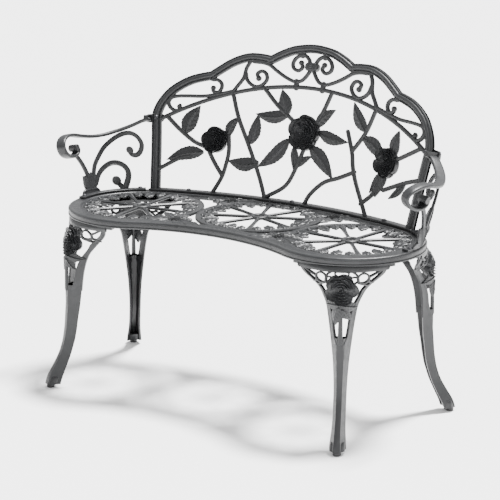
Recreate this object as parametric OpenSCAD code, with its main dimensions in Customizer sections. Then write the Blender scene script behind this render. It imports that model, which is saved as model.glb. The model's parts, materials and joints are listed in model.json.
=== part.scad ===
// Two-seat cast aluminium garden bench with rose pattern.
// Castings: one seat, one back, two arms and four legs, bolted together,
// with a screw-in levelling glide under each leg.
// Front faces -Y, +Z is up, x = 0 is the mirror plane of the frame.

/* [Seat] */
// Height of the seat's top face above the floor
seat_h = 433; // [380:1:520]
// Half distance between the two outer medallions
lobe_x = 303; // [290:1:365]
// Radius of the seat's round ends
lobe_r = 178; // [172:1:184]
// Width of the rolled rim
rim_w = 34; // [28:1:40]
// Height of the rim's outer skirt
rim_h = 19; // [16:1:26]
// Thickness of the rim's walls
rim_wall = 7; // [5:0.5:9]
// Thickness of the pierced seat pattern
grille_t = 7; // [5:0.5:9]
// Outer radius of a medallion ring
ring_r = 156; // [150:1:160]
// Width of a medallion ring
ring_w = 20; // [14:1:26]
// Spokes in one medallion
spokes = 8; // [6:1:10]

/* [Back] */
// Lean of the back from upright, degrees
rake = 15.25; // [10:0.25:20]
// Radius of the back's curve seen from above
back_curve = 1064; // [900:1:1300]
// Thickness of the back's frame
frame_t = 15; // [12:0.5:18]
// Thickness of scrolls, stems and leaves
work_t = 9; // [7:0.5:11]
// Width of the top rail's bead
rail_w = 22; // [18:0.5:26]
// Width of an upright
upright_w = 24.5; // [22:0.5:27]
// Width of a scroll's strand
scroll_w = 9; // [7:0.5:11]
// Width of a rose stem
stem_w = 10; // [8:0.5:12]

/* [Arms] */
// Thickness of an arm's scroll plate
arm_t = 8; // [6:0.5:10]
// Width of the arm rest
rest_w = 24; // [20:1:30]
// Thickness of the arm rest
rest_t = 9; // [7:0.5:11]

/* [Legs] */
// Distance of a glide from the middle of the seat's round end
foot_r = 252; // [245:1:258]
// Direction of a front leg, degrees from straight ahead
front_a = 26.5; // [22:0.5:30]
// Direction of a back leg, degrees from straight ahead
back_a = 136.5; // [130:0.5:142]
// Wall of a leg's channel
leg_wall = 6; // [5:0.5:8]
// Width of a leg at its top
leg_top_w = 198; // [180:1:206]

/* [Fasteners and glides] */
// Radius of the leg bolts and the glide screws
bolt_r = 4; // [3:0.25:5]
// Radius of the small bolts in back and arms
screw_r = 3; // [2.5:0.25:3.5]
// Radius of a glide's pad
pad_r = 9.5; // [8.5:0.5:11]
// Height of a glide's pad
pad_h = 9; // [8:0.5:11]
// Radial clearance of a screw in its hole
fit = 0.05; // [0.02:0.01:0.1]
// Clearance between stacked pieces
gap = 0.1; // [0.05:0.05:0.3]

/* [Hidden] */
$fn = 96;
coarse = 20;                 // facets on the small round ends of the pattern
char_black = [0.16, 0.16, 0.17];
steel_dark = [0.10, 0.10, 0.11];
plastic = [0.05, 0.05, 0.05];

lobe_y = -47.75;             // middle of the round ends, from the bench's middle
hub_y = [lobe_y + 4.3, 30.75]; // hubs of the outer and the middle medallion
back_y = 173.05;             // back's mid surface at seat level, x = 0
wide = lobe_x / 303;         // stretch of the back with the distance between the round ends
under = seat_h - rim_h;      // level where the legs meet the seat
front_mid_y = lobe_y - 106;  // front edge at x = 0
hollow_r = (lobe_x * lobe_x + pow(lobe_y - front_mid_y, 2) - lobe_r * lobe_r)
    / (2 * (lobe_r - (lobe_y - front_mid_y)));   // arc tangent to both lobes
panel_r = back_curve / cos(rake);                // same curve, square to the lean
flange_w = 24;
flange_t = 5;
flange_x = 384 * wide;
bolt_x = 288 * wide;                // outer bolts of the back's flange
joint_v = 187;               // height of the arm joint along the back
joint_u = 396 * wide;
lug_out = 30;                // reach of the arm's lug past the joint
lug_in = upright_w / 2 * wide + 2.5;    // where the lug turns forward, clear of the upright
arm_r0 = 172;                // arm's radius round the lobe at seat level
arm_lean = 0.22;             // outward lean of the arm, run over rise
arm_foot = [-10, 57];        // ends of the arm's foot strip, degrees
arm_bolt_a = [-5, 52];       // bolts of the foot strip
arm_bolt_r = 167.5;
spot = 0.4;                  // depth of the spot faces under bolt heads
nut_pocket_r = screw_r * 2.1 + 0.7;
strip_r = [157, 174];
leg_bolt_r = 151;            // leg bolts' distance from the lobe's middle
leg_bolt_a = 25;
leg_plate_t = 6;
foot_z = pad_h + 0.3;         // underside of a leg, just clear of the pad
foot_block_h = 16;

function sag(u) = back_curve - sqrt(back_curve * back_curve - u * u);
// Smooth curve through points, n steps between each pair
function spline(p, n = 4) = let (m = len(p) - 1) concat(
    [for (i = [0 : m - 1], k = [0 : n - 1])
        let (t = k / n, a = p[max(i - 1, 0)], b = p[i], c = p[i + 1], d = p[min(i + 2, m)])
        0.5 * (2 * b + (c - a) * t + (2 * a - 5 * b + 4 * c - d) * t * t
            + (3 * b - a - 3 * c + d) * t * t * t)],
    [p[m]]);
function side(p, i) = let (a = p[max(i - 1, 0)], b = p[min(i + 1, len(p) - 1)], d = b - a)
    [-d[1], d[0]] / norm(d);

// Band along a smooth path, its width going from w0 to w1
module band(p, w0, w1 = 0, n = 4) {
    q = spline(p, n);
    e = w1 == 0 ? w0 : w1;
    m = len(q) - 1;
    function half(i) = (w0 + (e - w0) * i / m) / 2;
    polygon(concat([for (i = [0 : m]) q[i] + side(q, i) * half(i)],
        [for (i = [m : -1 : 0]) q[i] - side(q, i) * half(i)]));
    translate(q[0]) circle(d = w0, $fn = coarse);
    translate(q[m]) circle(d = e, $fn = coarse);
}
// Pointed leaf from stalk a to tip b
module leaf(a, b, w) {
    l = norm(b - a);
    rim = [[0, 0.1], [0.15, 0.38], [0.38, 0.5], [0.62, 0.42], [0.84, 0.2]];
    translate(a) rotate(atan2(b[1] - a[1], b[0] - a[0]))
        polygon(concat([for (r = rim) [r[0] * l, r[1] * w]], [[l, 0]],
            [for (i = [4 : -1 : 0]) [rim[i][0] * l, -rim[i][1] * w]]));
}
// Closes hairline gaps and drops slivers where strands meet
module tidy(e = 0.4) { offset(delta = -e) offset(delta = 2 * e) offset(delta = -e) children(); }
module both() { children(); mirror([1, 0, 0]) children(); }
module blob(p, r) { translate(p) circle(r, $fn = 24); }

// ---------- Seat ----------
module seat_plan() {
    difference() {
        union() {
            both() translate([lobe_x, lobe_y]) circle(lobe_r);
            intersection() {
                translate([0, back_y - back_curve])
                    circle(back_curve + flange_w / 2 - 1, $fn = 360);
                translate([-lobe_x - 45, lobe_y - lobe_r * 0.93])
                    square([2 * lobe_x + 90, 600]);
            }
        }
        translate([0, front_mid_y - hollow_r]) circle(hollow_r, $fn = 240);
    }
}
// Ring, hub, spokes and a wreath of leaf tips
module medallion(turn) {
    inner = ring_r - ring_w;
    difference() {
        circle(ring_r);
        circle(inner);
    }
    difference() {
        circle(23.5, $fn = 48);
        circle(11, $fn = 32);
    }
    for (i = [0 : spokes - 1]) rotate(turn + i * 360 / spokes) {
        polygon([[19, -5], [60, -4], [inner + 4, -8], [inner + 4, 8], [60, 4], [19, 5]]);
        rotate(180 / spokes) for (j = [-1 : 1])
            rotate(j * 10.5) leaf([inner + 4, 0], [inner - 32 + 4 * abs(j), 0], 22);
    }
}
module seat_pattern() {
    both() translate([lobe_x, hub_y[0]]) medallion(-28 + 22.5);
    translate([0, hub_y[1]]) medallion(22.5);
    both() {
        translate([lobe_x / 2, hub_y[1] + 92]) circle(30, $fn = 24);
        translate([lobe_x / 2 - 2, lobe_y - 66]) circle(30, $fn = 24);
        for (a = [35, 90, 145]) translate([lobe_x / 2, hub_y[1] + 92]) rotate(a)
            leaf([20, 0], [62, 0], 26);
        for (a = [-145, -90, -35]) translate([lobe_x / 2 - 2, lobe_y - 66]) rotate(a)
            leaf([20, 0], [58, 0], 26);
    }
}
module leg_spots(ang = leg_bolt_a) {
    for (s = [-1, 1], a = [front_a, back_a], b = [-ang, ang])
        translate([s * lobe_x, lobe_y]) rotate(s * (a + b) - 90)
            translate([leg_bolt_r, 0]) children();
}
module seat_casting() color(char_black) difference() {
    union() {
        translate([0, 0, seat_h - 3]) linear_extrude(3) difference() {
            offset(delta = -1.5) seat_plan();
            offset(delta = 1.5 - rim_w) seat_plan();
        }
        translate([0, 0, under]) linear_extrude(rim_h - 2.9) difference() {
            offset(delta = 0.01) seat_plan();
            offset(delta = -rim_w) seat_plan();
        }
        translate([0, 0, seat_h - 2 - grille_t]) linear_extrude(grille_t)
            offset(delta = 0.01) intersection() {
                seat_pattern();
                offset(delta = -rim_w / 2) seat_plan();
            }
        translate([0, 0, under]) leg_spots() cylinder(r = 10, h = rim_h - 4, $fn = 48);
    }
    // hollow underside of the rim, left solid round the bosses
    translate([0, 0, under - 1]) difference() {
        linear_extrude(rim_h - rim_wall + 1) difference() {
            offset(delta = -rim_wall) seat_plan();
            offset(delta = rim_wall - rim_w - 1) seat_plan();
        }
        leg_spots() cylinder(r = 10, h = rim_h, $fn = 48);
    }
    translate([0, 0, under - 1]) leg_spots() cylinder(r = bolt_r + fit, h = rim_h - 5);
    translate([0, 0, under]) flange_spots() cylinder(r = screw_r + fit, h = 60);
    translate([0, 0, under]) arm_spots() cylinder(r = screw_r + fit, h = 60);
    // room for the small washers and nuts under the rim
    translate([0, 0, under - 1]) flange_spots() cylinder(r = nut_pocket_r, h = rim_h - rim_wall + 1 + spot);
    translate([0, 0, under - 1]) arm_spots() cylinder(r = nut_pocket_r, h = rim_h - rim_wall + 1 + spot);
}

// ---------- Back ----------
module on_back(u, v) {
    b = asin(u / panel_r);
    translate([0, back_y, seat_h]) rotate([-rake, 0, 0]) translate([0, -panel_r, 0])
        rotate(-b) translate([0, panel_r, v - sag(u) * tan(rake)]) children();
}
// Curved, leaning sheet; lo and hi count from the back's mid surface, rear positive
module back_sheet(lo, hi) {
    translate([0, back_y, seat_h]) rotate([-rake, 0, 0]) translate([0, -panel_r, -60])
        difference() {
            cylinder(r = panel_r + hi, h = 560, $fn = 180);
            translate([0, 0, -1]) cylinder(r = panel_r + lo, h = 562, $fn = 180);
        }
}
module through_back() {
    translate([0, back_y + 150, seat_h]) rotate([90, 0, 0]) linear_extrude(300)
        tidy() scale([wide, cos(rake)]) children();
}
module rail_half() {
    band([[0, 386.5], [50, 380.5], [85, 368], [119, 350]], rail_w);
    band([[119, 350], [145, 353], [175, 353], [200, 346.5], [225, 335], [250, 318], [274, 300]],
        rail_w, rail_w, 3);
    band([[274, 300], [300, 294], [325, 285.5], [350, 271], [371, 253], [386, 231], [397, 190]],
        rail_w + 1, upright_w, 3);
    polygon([for (q = [[397, 190, 1], [374, -2, 1], [374, -2, -1], [397, 190, -1]])
        [q[0] + q[2] * upright_w / 2, q[1]]]);
}
module arch_half() {
    top = 289;
    r = 760;
    band([for (u = [0 : 38.5 : 386]) [u, top - r + sqrt(r * r - u * u)]], scroll_w + 1.5,
        scroll_w + 1.5, 1);
}
module scroll_half() {
    band([[212, 264], [245, 255], [285, 247], [330, 245], [355, 243], [368, 238], [373, 226],
        [366, 213], [352, 206]], scroll_w, scroll_w, 3);
    band([[352, 206], [343, 217]], scroll_w - 2);
    band([[276, 292], [268, 290], [256, 290], [245, 282], [243, 270], [250, 259], [262, 260],
        [266, 268]], scroll_w - 2, scroll_w - 3, 2);
    band([[212, 264], [200, 280], [188, 300], [184, 325], [176, 340]], scroll_w - 1);
    band([[184, 312], [178, 296], [166, 285], [150, 280], [134, 286], [124, 300], [128, 314],
        [140, 320], [152, 313], [147, 301]], scroll_w, scroll_w - 2, 3);
    band([[166, 342], [140, 341], [120, 336], [100, 324], [75, 311], [50, 302], [34, 302],
        [20, 310], [6, 330]], scroll_w, scroll_w, 3);
    band([[6, 345], [14, 360], [30, 369], [48, 362], [57, 348], [54, 335], [40, 329],
        [29, 338], [34, 349]], scroll_w - 1, scroll_w - 2, 3);
    blob([147, 301], 5);
    blob([264, 269], 5);
    blob([34, 349], 5);
    polygon([[27, 285], [52, 283], [50, 303], [30, 303]]);
    polygon([[24, 366], [54, 364], [52, 378], [24, 380]]);
}
module stems() {
    band([[-368, 188], [-335, 159], [-295, 131], [-262, 118]], stem_w);
    band([[-374, 54], [-325, 85], [-300, 92]], stem_w - 2);
    band([[-249, 105], [-232, 80], [-210, 53]], stem_w - 2);
    band([[-204, 150], [-198, 110], [-201, 75], [-208, 42], [-228, -2]], stem_w, 15);
    band([[-208, 254], [-185, 198], [-147, 132], [-105, 57], [-78, -2]], stem_w);
    band([[-124, 276], [-82, 238], [-30, 203]], stem_w);
    band([[12, 140], [-4, 88], [-27, 41], [-80, 6]], stem_w);
    band([[32, -2], [50, 31], [85, 64], [127, 81], [172, 102]], 20, stem_w - 1);
    band([[34, 198], [53, 239], [69, 284]], stem_w);
    band([[134, 196], [156, 147], [166, 111], [184, 72], [230, -2]], stem_w, 20);
    band([[155, 150], [188, 199], [209, 256]], stem_w);
    band([[296, 150], [366, 188]], stem_w);
    band([[384, 118], [335, 102], [270, 74]], stem_w);
    band([[262, 108], [242, 63], [206, 30]], stem_w);
}
module leaves() {
    for (q = [[-320, 150, -291, 222, 40], [-208, 148, -182, 202, 26], [-265, 105, -357, 79, 34],
        [-112, 90, -197, 88, 35], [-142, 135, -132, 212, 32], [-46, 218, -140, 212, 32],
        [-54, 212, -76, 279, 38], [-36, 156, -114, 79, 36], [-18, 140, -9, 80, 22],
        [-2, 92, 39, 124, 18], [30, 146, 107, 76, 38], [48, 184, 140, 170, 30],
        [36, 196, 87, 244, 30], [190, 203, 140, 269, 32], [250, 156, 176, 189, 36],
        [288, 158, 292, 220, 32], [336, 98, 289, 56, 18], [256, 114, 227, 60, 20],
        [272, 110, 246, 53, 26]])
        leaf([q[0], q[1]], [q[2], q[3]], q[4]);
}
roses = [[-240, 137, 34], [5, 177, 45], [267, 139, 37]];
module rose(r) {
    rotate([90, 0, 0]) rotate_extrude() polygon([[0, 2], [0, 15], [r * 0.2, 15], [r * 0.32, 11],
        [r * 0.42, 13], [r * 0.55, 12], [r * 0.64, 8], [r * 0.74, 10], [r * 0.88, 8], [r, 3],
        [r * 0.9, 2]]);
}
module flange_spots() {
    for (u = [-bolt_x, 0, bolt_x]) translate([u, back_y - sag(u), 0]) children();
}
module back_casting() color(char_black) difference() {
    union() {
        intersection() {
            back_sheet(-frame_t / 2, frame_t / 2);
            through_back() both() { rail_half(); }
        }
        intersection() {
            back_sheet(-work_t / 2, work_t / 2);
            through_back() {
                both() { arch_half(); scroll_half(); }
                stems();
                leaves();
                for (r = roses) translate([r[0], r[1]]) circle(r[2] - 1, $fn = 40);
            }
        }
        for (r = roses) on_back(r[0] * wide, r[1]) rose(r[2]);
        on_back(0, 341) rotate([90, 0, 0]) translate([0, 0, -7])
            cylinder(r = 13, h = 15, $fn = 36);
        translate([0, back_y - back_curve, seat_h + gap]) intersection() {
            difference() {
                cylinder(r = back_curve + flange_w / 2, h = flange_t, $fn = 360);
                translate([0, 0, -1])
                    cylinder(r = back_curve - flange_w / 2, h = flange_t + 2, $fn = 360);
            }
            translate([-flange_x, 0, 0]) cube([2 * flange_x, 2 * back_curve, 50]);
        }
    }
    translate([0, 0, seat_h + gap - 50]) cube([1200, 900, 100], center = true);
    translate([0, 0, seat_h - 1]) flange_spots() cylinder(r = screw_r + fit, h = 20);
    arm_joints() translate([0, 0, -40]) cylinder(r = screw_r + fit, h = 80);
}

// ---------- Arms ----------
// Cone-shaped sheet round the seat's end; lo and hi count from its middle
module arm_sheet(lo, hi) {
    z0 = seat_h;
    z1 = seat_h + 260;
    dr = arm_lean * 260;
    translate([lobe_x, lobe_y, 0]) rotate_extrude($fn = 240)
        polygon([[arm_r0 + lo, z0], [arm_r0 + hi, z0], [arm_r0 + dr + hi, z1],
            [arm_r0 + dr + lo, z1]]);
}
// Pattern drawn in degrees round the lobe and height above the seat, cut square at
// direction mid and kept between lo and hi
module through_arm(mid, lo, hi) {
    intersection() {
        translate([lobe_x, lobe_y, seat_h]) rotate(mid) rotate([90, 0, 90])
            linear_extrude(300) tidy() children();
        translate([lobe_x, lobe_y, 0]) linear_extrude(seat_h + 300)
            polygon([[0, 0], for (a = [lo : (hi - lo) / 3 : hi + 1]) 400 * [cos(a), sin(a)]]);
    }
}
function turned(p, mid) = [for (q = p) [(arm_r0 + arm_lean * q[1]) * sin(q[0] - mid), q[1]]];
module arm_plate(mid) {
    band(turned([[-3, 102], [4, 64], [7, 36]], mid), 10);
    polygon(turned([[0, -1], [-1, 16], [-3, 28], [-3, 39], [0, 46], [4, 44], [8, 48], [12, 54],
        [17, 44], [13, 24], [11, -1]], mid));
    band(turned([[11, 40], [14, 67], [19, 90], [25, 112], [34, 132], [41, 141], [46.5, 140],
        [51, 129], [53.5, 112], [52.5, 95], [49.5, 86], [46, 88], [44, 98]], mid), 11, 13, 3);
    blob(turned([[44, 100]], mid)[0], 8.5);
    band(turned([[13, 28], [17, 46], [22, 60], [28, 69], [34, 69], [39.5, 60], [42.5, 44],
        [42, 26], [39, 2]], mid), 12, 15, 3);
    band(turned([[37, 2], [32, 24]], mid), 16);
    blob(turned([[32, 25]], mid)[0], 12);
}
module arm_rest(mid) {
    band(turned([[63.5, 178], [54, 171], [48, 162], [42, 154.5], [35, 148], [26, 142], [16, 141],
        [5, 147], [-4, 154], [-12.5, 155], [-19, 148], [-22, 135], [-20, 119], [-14.5, 107.5],
        [-8, 103.5], [-3, 108], [-1.5, 118], [-4, 126]], mid), rest_t, rest_t, 4);
    blob(turned([[-3.5, 121]], mid)[0], 8);
    blob(turned([[62.5, 177]], mid)[0], 11);
}
module arm_joints() {
    for (s = [-1, 1]) on_back(s * joint_u, joint_v) rotate([-90, 0, 0]) children();
}
module arm_spots(list = arm_bolt_a) {
    for (s = [0, 1], a = list) mirror([s, 0, 0])
        translate([lobe_x, lobe_y, 0]) rotate(a) translate([arm_bolt_r, 0, 0]) children();
}
module arm() color(char_black) difference() {
    union() {
        difference() {
            union() {
                for (z = [[-12, -50, 10.01], [36, 10, 75]]) {
                    intersection() {
                        arm_sheet(-arm_t / 2, arm_t / 2);
                        through_arm(z[0], z[1], z[2]) arm_plate(z[0]);
                    }
                    intersection() {
                        arm_sheet(-rest_w / 2, rest_w / 2);
                        through_arm(z[0], z[1], z[2]) arm_rest(z[0]);
                    }
                }
            }
            translate([0, back_y - sag(joint_u) - 60, seat_h + 100])
                cube([joint_u + lug_in - 0.5, 200, 200]);
        }
        // lug behind the upright
        intersection() {
            back_sheet(frame_t / 2 + gap, frame_t / 2 + 7);
            through_back() translate([(joint_u - 12) / wide, joint_v - 14]) square([lug_out + 12, 28]);
        }
        intersection() {
            back_sheet(-24, frame_t / 2 + 7);
            through_back() translate([(joint_u + lug_in) / wide, joint_v - 14])
                square([lug_out - lug_in, 28]);
        }
        // foot strip on the seat's rim
        translate([lobe_x, lobe_y, seat_h + gap]) rotate(arm_foot[0])
            rotate_extrude(angle = arm_foot[1] - arm_foot[0])
                translate([strip_r[0], 0]) square([strip_r[1] - strip_r[0], flange_t]);
    }
    translate([0, 0, seat_h + gap - 100]) cube([1200, 900, 200], center = true);
    translate([0, 0, seat_h]) arm_spots() cylinder(r = screw_r + fit, h = 20);
    translate([0, 0, seat_h + gap + flange_t - spot]) arm_spots() cylinder(r = 8, h = 9);
    arm_joints() translate([0, 0, -40]) cylinder(r = screw_r + fit, h = 80);
}
module arm_right() arm();
module arm_left() mirror([1, 0, 0]) arm();

// ---------- Legs ----------
tall = under / 414;          // stretch of a leg with the seat's height
ridge = [for (q = [[0, 265], [10, 264], [30, 258], [55, 242], [85, 225], [115, 215], [150, 209],
    [200, 204.5], [290, 203], [340, 200], [375, 192], [400, 181], [420, 172]])
    [q[0] * tall, q[1]]];
half_w = [for (q = [[0, 19.5], [20, 19], [45, 16], [72, 14.8], [102, 14.8], [133, 15], [165, 16.3],
    [197, 18.5], [229, 22], [262, 26], [294, 30.5], [326, 36], [358, 52.5], [372, 69.5],
    [386, 88], [403, leg_top_w / 2]]) [q[0] * tall, q[1]]];
panels = [[0, 0.3, 0], [7, 2.4, 2.1], [15, 0.565, 21.3], [leg_top_w / 2 + 1, 0, 0]];
module leg_side(s, k) {
    // one flat panel of the channel, slanting back from the ridge
    slope = panels[k][1];
    a = atan(slope);
    intersection() {
        translate([0, -panels[k][2] + panels[k][0] * slope, 0]) rotate(-s * a)
            translate([-500, 0, 0]) rotate([90, 0, 90]) linear_extrude(1000)
                polygon(concat([for (q = spline(ridge, 3)) [q[1] * cos(a), q[0]]],
                    [for (q = spline([for (i = [len(ridge) - 1 : -1 : 0]) ridge[i]], 3))
                        [q[1] * cos(a) - leg_wall, q[0]]]));
        translate([s > 0 ? panels[k][0] - 0.01 : -panels[k + 1][0], 0, 0])
            cube([panels[k + 1][0] - panels[k][0] + 0.01, 400, 500]);
    }
}
module leg_face() {
    q = spline(half_w, 2);
    difference() {
        polygon(concat([for (p = q) [p[1], p[0]]], [[leg_top_w / 2, under - 1],
            [-leg_top_w / 2, under - 1]], [for (i = [len(q) - 1 : -1 : 0]) [-q[i][1], q[i][0]]]));
        scale([1, tall]) both() {
            polygon([[30, 356], [40, 366], [47, 372], [36, 380], [34, 366]]);
            translate([48, 384]) circle(12, $fn = 32);
            polygon([[64, 401], [88, 401], [72, 380], [66, 388]]);
            polygon([[22, 404], [37, 404], [34, 394], [24, 397]]);
            polygon([[9, 292], [14, 300], [19, 300], [18, 276], [12, 256], [9, 262]]);
            polygon([[15, 322], [27, 322], [36, 350], [37, 358], [34, 352]]);
            translate([27, 384]) circle(6, $fn = 20);
        }
        translate([0, 398 * tall]) scale([2, 1]) circle(5.5, $fn = 24);
    }
}
module leg() color(char_black) difference() {
    union() {
        intersection() {
            union() for (s = [-1, 1], k = [0 : 2]) leg_side(s, k);
            translate([0, 400, 0]) rotate([90, 0, 0]) linear_extrude(400)
                offset(delta = 0.01) leg_face();
        }
        // fixing plate under the seat's rim
        translate([0, 0, under - gap - leg_plate_t]) rotate(90 - 41)
            rotate_extrude(angle = 82) translate([136, 0]) square([38, leg_plate_t]);
        // foot block
        translate([0, 0, foot_z]) linear_extrude(foot_block_h)
            polygon([[-5, 262], [5, 262], [14, 250], [18, 236], [-18, 236], [-14, 250]]);
        translate([0, 194, 366 * tall]) rotate([-90, 0, 0]) rotate_extrude() polygon([[0, -8], [31, -8],
            [34, 2], [30, 8], [24, 7], [20, 10], [12, 9], [8, 13], [0, 13]]);
        translate([0, 0, 292 * tall]) linear_extrude(46 * tall) polygon([[-6, 192], [6, 192], [6, 208], [-6, 208]]);
    }
    translate([0, 0, -1]) cube([900, 900, 2 * (foot_z + 1)], center = true);
    translate([0, 0, under - gap + 50]) cube([900, 900, 100], center = true);
    translate([0, foot_r, 0]) cylinder(r = bolt_r + fit, h = foot_z + foot_block_h + 0.5);
    translate([0, 0, under - 40]) for (b = [-leg_bolt_a, leg_bolt_a]) rotate(b)
        translate([0, leg_bolt_r, 0]) {
            cylinder(r = bolt_r + fit, h = 60);
            cylinder(r = 9.5, h = 40 - gap - leg_plate_t + spot);
        }
}
module at_leg(s, a) {
    translate([s * lobe_x, lobe_y, 0]) rotate(s * a + 180) children();
}
module leg_front_left() at_leg(-1, front_a) leg();
module leg_front_right() at_leg(1, front_a) leg();
module leg_back_left() at_leg(-1, back_a) leg();
module leg_back_right() at_leg(1, back_a) leg();

// ---------- Fasteners ----------
module hex_bolt(r, l, washer) color(steel_dark) {
    // head below, shank up from the underside of the washer
    translate([0, 0, -washer - r * 1.3]) cylinder(r = r * 1.85, h = r * 1.3, $fn = 6);
    translate([0, 0, -washer - 0.1]) cylinder(r = r, h = l + washer);
}
module dome_bolt(r, l) color(steel_dark) {
    rotate_extrude() polygon([[0, 0], [r * 2, 0], [r * 1.9, r * 0.6], [r * 1.3, r * 1.2], [0, r * 1.4]]);
    translate([0, 0, -l]) cylinder(r = r, h = l + 0.1);
}
module washer(r, t) color(steel_dark) difference() {
    cylinder(r = r * 2.1, h = t);
    translate([0, 0, -1]) cylinder(r = r + fit, h = t + 2);
}
module nut(r, t) color(steel_dark) difference() {
    cylinder(r = r * 1.9, h = t, $fn = 6);
    translate([0, 0, -1]) cylinder(r = r + fit, h = t + 2);
}
wash_t = 1.2;
nut_t = 4;
rim_under = seat_h - rim_wall;       // underside of the rim's top wall
module leg_bolts() translate([0, 0, under + spot - gap - leg_plate_t - gap]) leg_spots()
    hex_bolt(bolt_r, 17.6, wash_t + gap);
module leg_washers() translate([0, 0, under + spot - 2 * gap - leg_plate_t - wash_t]) leg_spots()
    washer(bolt_r, wash_t);
module back_bolts() translate([0, 0, seat_h + 2 * gap + flange_t]) flange_spots()
    dome_bolt(screw_r, flange_t + rim_wall + wash_t + nut_t + 3);
module back_washers() translate([0, 0, rim_under - gap - wash_t]) flange_spots()
    washer(screw_r, wash_t);
module back_nuts() translate([0, 0, rim_under - 2 * gap - wash_t - nut_t]) flange_spots()
    nut(screw_r, nut_t);
module arm_seat_bolts() translate([0, 0, seat_h + 2 * gap + flange_t - spot]) arm_spots()
    dome_bolt(screw_r, flange_t + rim_wall + wash_t + nut_t + 3 - spot);
module arm_seat_washers() translate([0, 0, rim_under - gap - wash_t]) arm_spots()
    washer(screw_r, wash_t);
module arm_seat_nuts() translate([0, 0, rim_under - 2 * gap - wash_t - nut_t]) arm_spots()
    nut(screw_r, nut_t);
module arm_back_bolts() arm_joints() rotate([180, 0, 0]) translate([0, 0, frame_t / 2 + gap + 1])
    dome_bolt(screw_r, frame_t + 20);
module arm_back_washers() arm_joints() translate([0, 0, frame_t / 2 + 7 + 1])
    washer(screw_r, wash_t);
module arm_back_nuts() arm_joints() translate([0, 0, frame_t / 2 + 8 + wash_t + gap])
    nut(screw_r, nut_t);

// ---------- Levelling glides ----------
module glide_pad() color(plastic) difference() {
    rotate_extrude() polygon([[0, 0], [pad_r - 1.5, 0], [pad_r, 1.5], [pad_r, pad_h - 1],
        [pad_r - 1, pad_h], [0, pad_h]]);
    translate([0, 0, 2]) cylinder(r = bolt_r + 2 + fit, h = 3);
    translate([0, 0, 4]) cylinder(r = bolt_r + fit, h = pad_h);
}
module glide_screw() color(steel_dark) {
    translate([0, 0, 2 + fit]) cylinder(r = bolt_r + 2, h = 3 - 2 * fit);
    translate([0, 0, 4]) cylinder(r = bolt_r, h = foot_z + foot_block_h - 4.5);
}
module at_foot(s, a) at_leg(s, a) translate([0, foot_r, 0]) children();
module glide_pad_front_left() at_foot(-1, front_a) glide_pad();
module glide_pad_front_right() at_foot(1, front_a) glide_pad();
module glide_pad_back_left() at_foot(-1, back_a) glide_pad();
module glide_pad_back_right() at_foot(1, back_a) glide_pad();
module glide_screw_front_left() at_foot(-1, front_a) glide_screw();
module glide_screw_front_right() at_foot(1, front_a) glide_screw();
module glide_screw_back_left() at_foot(-1, back_a) glide_screw();
module glide_screw_back_right() at_foot(1, back_a) glide_screw();

seat_casting();
back_casting();
arm_left();
arm_right();
leg_front_left();
leg_front_right();
leg_back_left();
leg_back_right();
leg_bolts();
leg_washers();
back_bolts();
back_washers();
back_nuts();
arm_seat_bolts();
arm_seat_washers();
arm_seat_nuts();
arm_back_bolts();
arm_back_washers();
arm_back_nuts();
glide_pad_front_left();
glide_pad_front_right();
glide_pad_back_left();
glide_pad_back_right();
glide_screw_front_left();
glide_screw_front_right();
glide_screw_back_left();
glide_screw_back_right();
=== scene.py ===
import json
import math
import bpy
import numpy as np
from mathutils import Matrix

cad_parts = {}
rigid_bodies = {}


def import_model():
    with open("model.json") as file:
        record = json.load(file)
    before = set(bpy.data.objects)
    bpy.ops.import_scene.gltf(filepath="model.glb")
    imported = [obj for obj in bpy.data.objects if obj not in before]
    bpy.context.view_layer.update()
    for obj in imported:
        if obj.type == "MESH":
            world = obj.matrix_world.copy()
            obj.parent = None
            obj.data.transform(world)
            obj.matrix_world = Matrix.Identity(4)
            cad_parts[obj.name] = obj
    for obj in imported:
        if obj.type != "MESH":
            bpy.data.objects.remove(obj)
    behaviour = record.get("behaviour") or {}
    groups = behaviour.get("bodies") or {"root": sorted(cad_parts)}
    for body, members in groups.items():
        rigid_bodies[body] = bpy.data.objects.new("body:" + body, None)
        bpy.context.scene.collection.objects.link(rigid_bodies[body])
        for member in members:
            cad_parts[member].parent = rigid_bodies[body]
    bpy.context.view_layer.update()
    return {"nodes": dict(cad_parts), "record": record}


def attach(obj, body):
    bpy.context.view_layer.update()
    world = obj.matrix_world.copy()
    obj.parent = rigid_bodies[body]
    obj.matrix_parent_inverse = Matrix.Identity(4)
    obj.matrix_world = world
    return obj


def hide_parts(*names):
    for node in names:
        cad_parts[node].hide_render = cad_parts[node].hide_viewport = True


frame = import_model()

# sizes shared by every casting, in millimetres
bench = {
    "seatHeight": 433.0, "lobeX": 303.0, "lobeY": -47.75, "lobeRadius": 178.0,
    "frontMidY": -153.75, "backY": 173.05, "backCurve": 1064.0, "rake": 15.25,
    "flangeHalf": 384.0,
}
rake = math.radians(bench["rake"])
panelCurve = bench["backCurve"] / math.cos(rake)
lobe = np.array([bench["lobeX"], bench["lobeY"]])


# surfaces that the patterns are laid on: two coordinates and a height off the surface
def backPoint(u, v, w):
    # curved, leaning panel; w counts towards the sitter
    c = np.sqrt(1 - (u / panelCurve) ** 2)
    sag = panelCurve * (1 - c) / math.cos(rake)
    y = bench["backY"] + v * math.sin(rake) - sag
    z = bench["seatHeight"] + v * math.cos(rake)
    return np.stack([u - w * u / panelCurve, y - w * c * math.cos(rake), z + w * c * math.sin(rake)], -1)


def seatPoint(x, y, w):
    # level face; w is the height over the seat
    return np.stack([x, y, bench["seatHeight"] + w + 0 * x], -1)


arm = {"radius": 172.0, "lean": 0.22, "plateThick": 8.0, "restWide": 24.0, "restThick": 9.0}


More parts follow.
